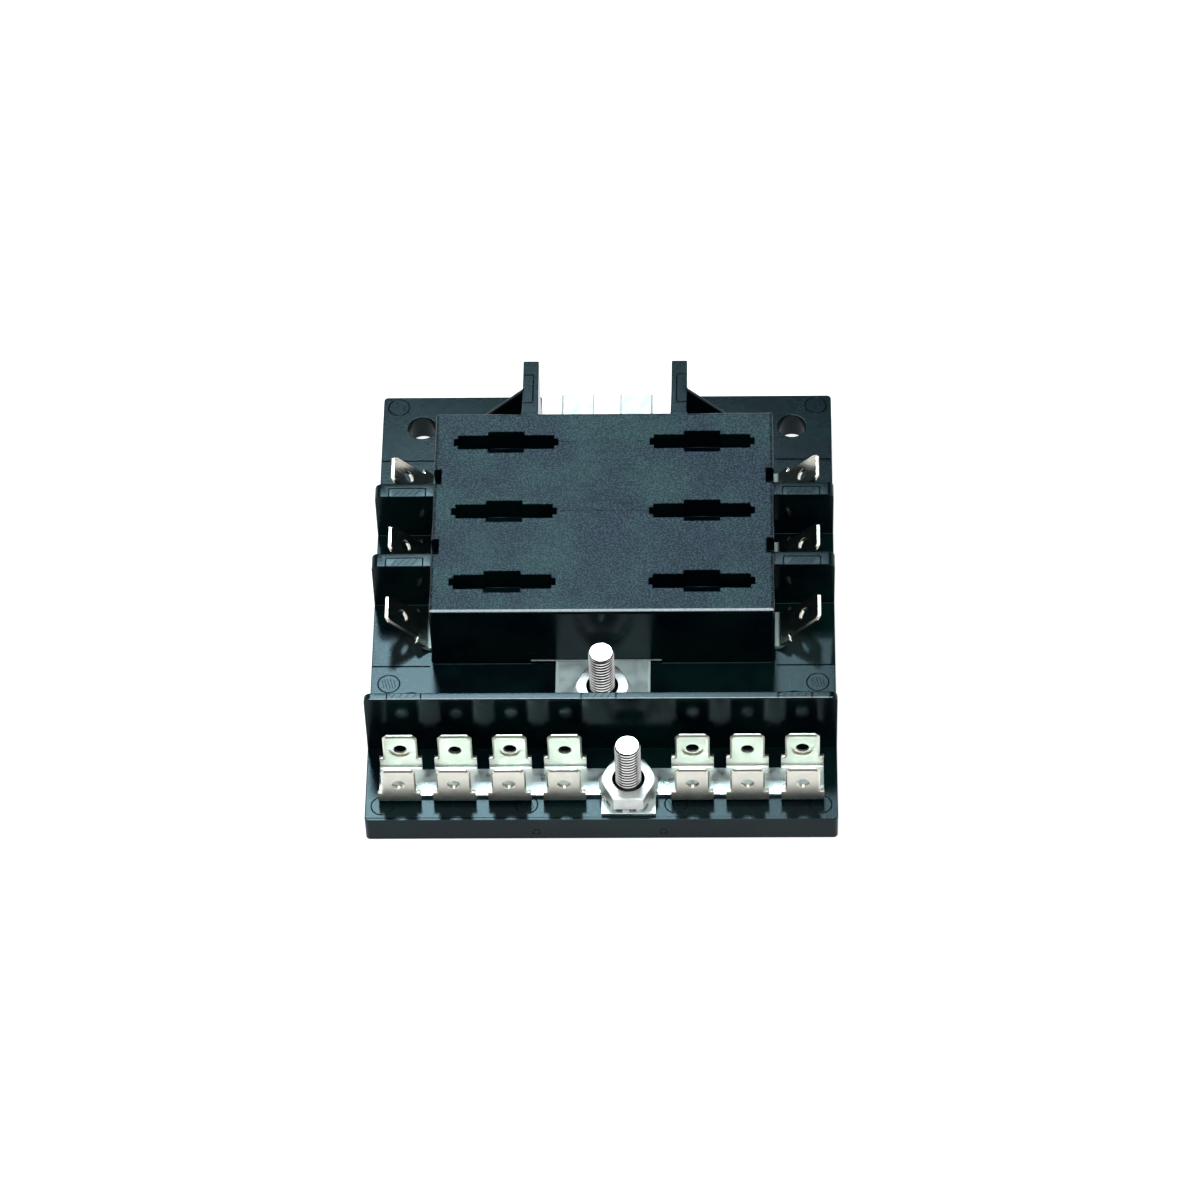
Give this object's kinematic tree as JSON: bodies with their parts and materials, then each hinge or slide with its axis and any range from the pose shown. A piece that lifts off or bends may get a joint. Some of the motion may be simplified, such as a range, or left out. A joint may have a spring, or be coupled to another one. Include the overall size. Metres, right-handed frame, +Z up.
{
  "type": "fuse block",
  "caption": "Flat black fuse block with blade-fuse slots in a raised housing, sloping load tabs along both sides, a power stud at the front and a ground bus with upright tabs.",
  "frame": {"origin": "centre of the bounding box, at the base's underside", "axes": "+X to the right, +Y from the ground bus to the rear, +Z up out of the mounting panel"},
  "size_m": [0.0874, 0.1024, 0.0215],
  "materials": {
    "black_plastic": "satin black moulded thermoplastic",
    "tin_plate": "tin-plated brass sheet, slightly mottled",
    "plated_steel": "bright zinc-plated steel"
  },
  "bodies": {
    "root": {"housing": "black_plastic", "bottom_cover": "black_plastic", "power_bus_bar": "tin_plate", "bus_clip_left_front": "tin_plate", "bus_clip_left_middle": "tin_plate", "bus_clip_left_rear": "tin_plate", "bus_clip_right_front": "tin_plate", "bus_clip_right_middle": "tin_plate", "bus_clip_right_rear": "tin_plate", "load_terminal_left_front": "tin_plate", "load_terminal_left_middle": "tin_plate", "load_terminal_left_rear": "tin_plate", "load_terminal_right_front": "tin_plate", "load_terminal_right_middle": "tin_plate", "load_terminal_right_rear": "tin_plate", "power_stud": "plated_steel", "power_lock_washer": "plated_steel", "power_nut": "plated_steel", "ground_bus_bar": "tin_plate", "ground_stud": "plated_steel", "ground_lock_washer": "plated_steel", "ground_nut": "plated_steel"}
  },
  "joints": []
}
